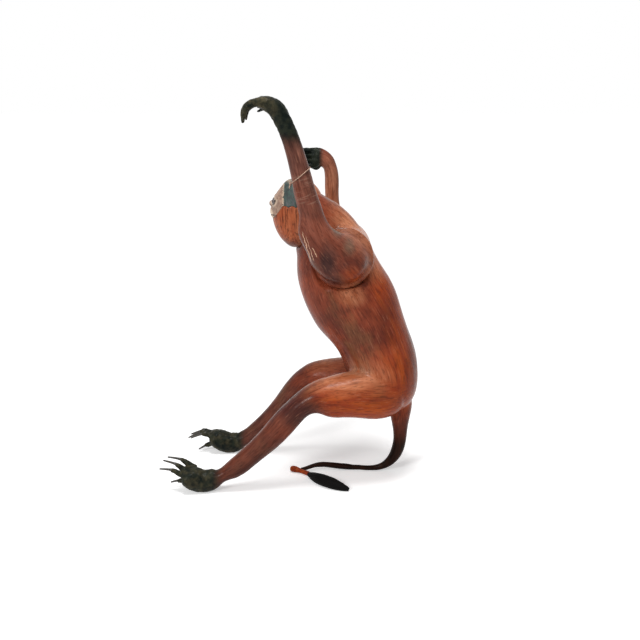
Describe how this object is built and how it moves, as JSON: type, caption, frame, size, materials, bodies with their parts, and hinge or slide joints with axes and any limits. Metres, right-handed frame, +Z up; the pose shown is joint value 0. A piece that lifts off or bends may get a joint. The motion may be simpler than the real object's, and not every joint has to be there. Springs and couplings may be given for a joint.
{
  "type": "monkey figurine",
  "caption": "Carved, painted wooden monkey that sits on its heels and tail with its arms raised; the arms swing at the shoulder and the forearms turn at the elbow.",
  "frame": {"origin": "middle of the figure's outline on the floor, under its heels and tail", "axes": "+Z up, the face looks along -X, the figure's left side is -Y"},
  "size_m": [0.3204, 0.2279, 0.4743],
  "materials": {
    "red_brown_lacquer": "painted red-brown, lacquered, worn",
    "orange_paint": "painted orange-brown, lacquered",
    "dark_paint": "painted green-black, satin",
    "hood_paint": "painted green-black, satin",
    "face_paint": "painted pale brown, matt",
    "tuft_paint": "painted black",
    "claw_wire": "painted iron wire",
    "eye_glass": "dark glass bead",
    "twine": "twisted plant fibre",
    "dowel_wood": "bare"
  },
  "bodies": {
    "torso": {"torso": "red_brown_lacquer", "head": "red_brown_lacquer", "face": "face_paint", "hood": "hood_paint", "left_eye": "eye_glass", "right_eye": "eye_glass", "left_ear": "hood_paint", "right_ear": "hood_paint", "neck_dowel": "dowel_wood", "tail": "red_brown_lacquer", "tail_tip": "orange_paint", "tail_tuft": "tuft_paint", "tail_dowel": "dowel_wood", "left_leg": "red_brown_lacquer", "left_foot": "dark_paint", "left_hip_dowel": "dowel_wood", "left_ankle_dowel": "dowel_wood", "left_claw_1": "claw_wire", "left_claw_2": "claw_wire", "left_claw_3": "claw_wire", "left_claw_4": "claw_wire", "right_leg": "red_brown_lacquer", "right_foot": "dark_paint", "right_hip_dowel": "dowel_wood", "right_ankle_dowel": "dowel_wood", "right_claw_1": "claw_wire", "right_claw_2": "claw_wire", "right_claw_3": "claw_wire", "right_claw_4": "claw_wire"},
    "left_arm": {"left_upper_arm": "red_brown_lacquer", "left_shoulder_dowel": "dowel_wood", "left_elbow_dowel": "dowel_wood"},
    "left_forearm": {"left_forearm": "red_brown_lacquer", "left_hand": "dark_paint", "left_wrist_dowel": "dowel_wood", "left_thumb": "dark_paint", "left_finger_1": "dark_paint", "left_finger_2": "dark_paint", "left_finger_3": "dark_paint", "left_finger_4": "dark_paint", "twine": "twine", "twine_knot": "twine"},
    "right_arm": {"right_upper_arm": "red_brown_lacquer", "right_shoulder_dowel": "dowel_wood", "right_elbow_dowel": "dowel_wood"},
    "right_forearm": {"right_forearm": "red_brown_lacquer", "right_hand": "dark_paint", "right_wrist_dowel": "dowel_wood", "right_thumb": "dark_paint", "right_finger_1": "dark_paint", "right_finger_2": "dark_paint", "right_finger_3": "dark_paint", "right_finger_4": "dark_paint"}
  },
  "joints": [
    {"name": "left_shoulder_swing", "type": "hinge", "parent": "torso", "child": "left_arm", "pos_m": [0.063, -0.071, 0.2885], "axis": [0, -1, 0], "range_deg": [-35, 70]},
    {"name": "left_forearm_turn", "type": "hinge", "parent": "left_arm", "child": "left_forearm", "pos_m": [0.0177, -0.1, 0.374], "axis": [-0.2225, 0, 0.9749], "range_deg": [-75, 75]},
    {"name": "right_shoulder_swing", "type": "hinge", "parent": "torso", "child": "right_arm", "pos_m": [0.063, -0.005, 0.2885], "axis": [0, -1, 0], "range_deg": [-35, 70]},
    {"name": "right_forearm_turn", "type": "hinge", "parent": "right_arm", "child": "right_forearm", "pos_m": [0.0545, 0.1016, 0.317], "axis": [-0.08, 0, 0.9968], "range_deg": [-75, 75]}
  ]
}
